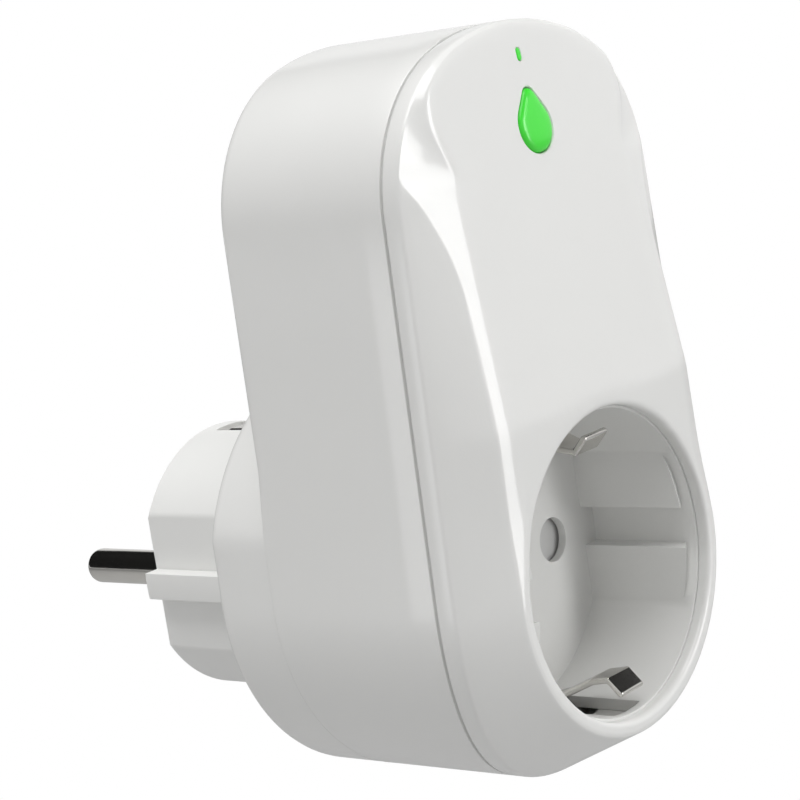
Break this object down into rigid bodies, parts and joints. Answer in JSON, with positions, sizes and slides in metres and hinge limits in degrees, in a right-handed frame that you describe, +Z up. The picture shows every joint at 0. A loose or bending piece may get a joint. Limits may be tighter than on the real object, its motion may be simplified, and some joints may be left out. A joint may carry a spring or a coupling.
{
  "type": "plug in power meter",
  "caption": "White plug-in power meter with a round two-pin plug at the back, a shuttered socket at the front, a green push button and a small indicator slit.",
  "frame": {"origin": "midway between the two plug pins, on the plug's face", "axes": "+Y out of the plug along the pins, -Y out of the socket, +Z up to the button end, +X across the two pins"},
  "size_m": [0.054, 0.0844, 0.0943],
  "materials": {
    "housing_white": "satin gloss moulded plastic",
    "plug_white": "satin moulded plastic",
    "socket_white": "satin moulded plastic",
    "pin_plating": "polished nickel plating on brass",
    "clip_metal": "nickel plated spring strip",
    "copper_alloy": "stamped bronze strip",
    "shutter_grey": "fine matt moulding",
    "carrier_grey": "matt thermoset moulding",
    "button_green": "translucent green moulding",
    "led_lens": "clear epoxy",
    "switch_black": "matt black nylon",
    "board_green": "solder mask on glass laminate",
    "module_blue": "solder mask on glass laminate",
    "shield_metal": "tinned steel can",
    "chip_black": "epoxy moulding compound",
    "relay_case": "blue moulded relay case",
    "film_capacitor_yellow": "yellow plastic box",
    "capacitor_sleeve": "shrink sleeve over aluminium can",
    "varistor_blue": "epoxy dipped disc",
    "resistor_green": "cement coated body",
    "choke_ferrite": "ferrite drum with wound copper wire",
    "fuse_ceramic": "white ceramic tube",
    "screw_steel": "zinc plated steel"
  },
  "bodies": {
    "housing": {"rear_shell": "housing_white", "front_cover": "housing_white", "plug_body": "plug_white", "live_pin": "pin_plating", "neutral_pin": "pin_plating", "upper_earth_strap": "clip_metal", "lower_earth_strap": "clip_metal", "earth_link": "copper_alloy", "socket_cup": "socket_white", "shutter_spring": "clip_metal", "contact_carrier": "carrier_grey", "live_contact": "copper_alloy", "neutral_contact": "copper_alloy", "live_bar": "copper_alloy", "load_bar": "copper_alloy", "neutral_bar": "copper_alloy", "neutral_tap": "copper_alloy", "tactile_switch": "switch_black", "indicator_light_guide": "button_green", "indicator_led": "led_lens", "button_led": "led_lens", "control_board": "board_green", "radio_module": "module_blue", "radio_shield": "shield_metal", "small_chips": "chip_black", "board_header": "switch_black", "power_board": "board_green", "relay": "relay_case", "filter_capacitor": "film_capacitor_yellow", "supply_capacitors": "capacitor_sleeve", "varistor": "varistor_blue", "fuse_resistor": "resistor_green", "choke": "choke_ferrite", "current_shunt": "copper_alloy", "metering_chip": "chip_black", "supply_chip": "chip_black", "thermal_fuse": "fuse_ceramic", "plug_screws": "screw_steel", "board_screws": "screw_steel"},
    "push_button": {"button": "button_green", "switch_plunger": "switch_black"},
    "safety_shutter": {"shutter": "shutter_grey"}
  },
  "joints": [
    {"name": "button_press", "type": "slide", "parent": "housing", "child": "push_button", "axis": [0, 0.9934, -0.1149], "range_m": [0, 0.0005], "stiffness_N_per_m": 4000, "springref_m": -0.0001},
    {"name": "shutter_turn", "type": "hinge", "parent": "housing", "child": "safety_shutter", "pos_m": [0, -0.0455, 0], "axis": [0, 1, 0], "range_deg": [0, 40], "stiffness_Nm_per_rad": 0.004, "springref_deg": -17.19}
  ]
}
